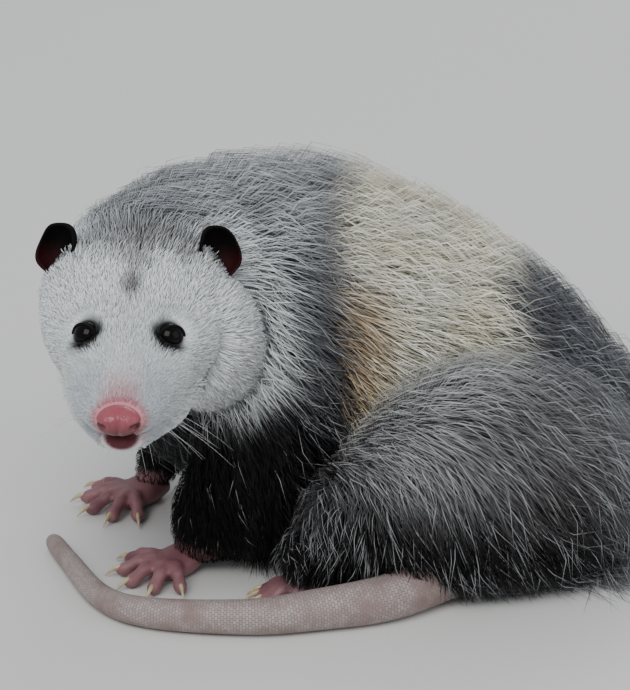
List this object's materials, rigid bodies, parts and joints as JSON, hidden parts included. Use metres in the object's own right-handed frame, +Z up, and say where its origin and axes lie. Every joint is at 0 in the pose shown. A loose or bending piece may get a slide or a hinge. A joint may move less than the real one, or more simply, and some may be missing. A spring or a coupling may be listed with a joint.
{
  "type": "virginia opossum",
  "caption": "Adult opossum in life size, crouched on the floor with its head turned to its left and its bare scaly tail laid forward beside it.",
  "frame": {"origin": "on the floor, under the middle of the whole animal's box", "axes": "+X from the animal's chest to its rump, -Y to its left side, to which the head is turned, +Z up"},
  "size_m": [0.2952, 0.2528, 0.1799],
  "materials": {
    "fur_grey": "shaggy grey coat, dark underfur with long white-tipped guard hairs",
    "fur_cream": "shaggy cream and grey-white coat of the trunk",
    "fur_white": "short white fur of the face",
    "fur_black": "brown-black fur of the forelegs",
    "skin_pink": "bare pink skin",
    "skin_tail": "finely scaled, nearly bare tail skin",
    "skin_ear": "thin black naked ear skin",
    "eye_black": "wet black eye",
    "claw_horn": "pale horn"
  },
  "bodies": {
    "root": {"claw_fore_left_1": "claw_horn", "claw_fore_left_2": "claw_horn", "claw_fore_left_3": "claw_horn", "claw_fore_left_4": "claw_horn", "claw_fore_left_5": "claw_horn", "claw_fore_right_1": "claw_horn", "claw_fore_right_2": "claw_horn", "claw_fore_right_3": "claw_horn", "claw_fore_right_4": "claw_horn", "claw_fore_right_5": "claw_horn", "claw_hind_left_1": "claw_horn", "claw_hind_left_2": "claw_horn", "claw_hind_left_3": "claw_horn", "claw_hind_left_4": "claw_horn", "claw_hind_right_1": "claw_horn", "claw_hind_right_2": "claw_horn", "claw_hind_right_3": "claw_horn", "claw_hind_right_4": "claw_horn", "ear_left": "skin_ear", "ear_right": "skin_ear", "eye_left": "eye_black", "eye_right": "eye_black", "forefoot_left": "skin_pink", "forefoot_right": "skin_pink", "foreleg_left": "fur_black", "foreleg_right": "fur_black", "head": "fur_white", "hindfoot_left": "skin_pink", "hindfoot_right": "skin_pink", "hindleg_left": "fur_grey", "hindleg_right": "fur_grey", "neck": "fur_grey", "nose": "skin_pink", "tail_1": "skin_tail", "tail_2": "skin_tail", "tail_3": "skin_tail", "tail_4": "skin_tail", "tail_5": "skin_tail", "torso": "fur_cream"}
  },
  "joints": []
}
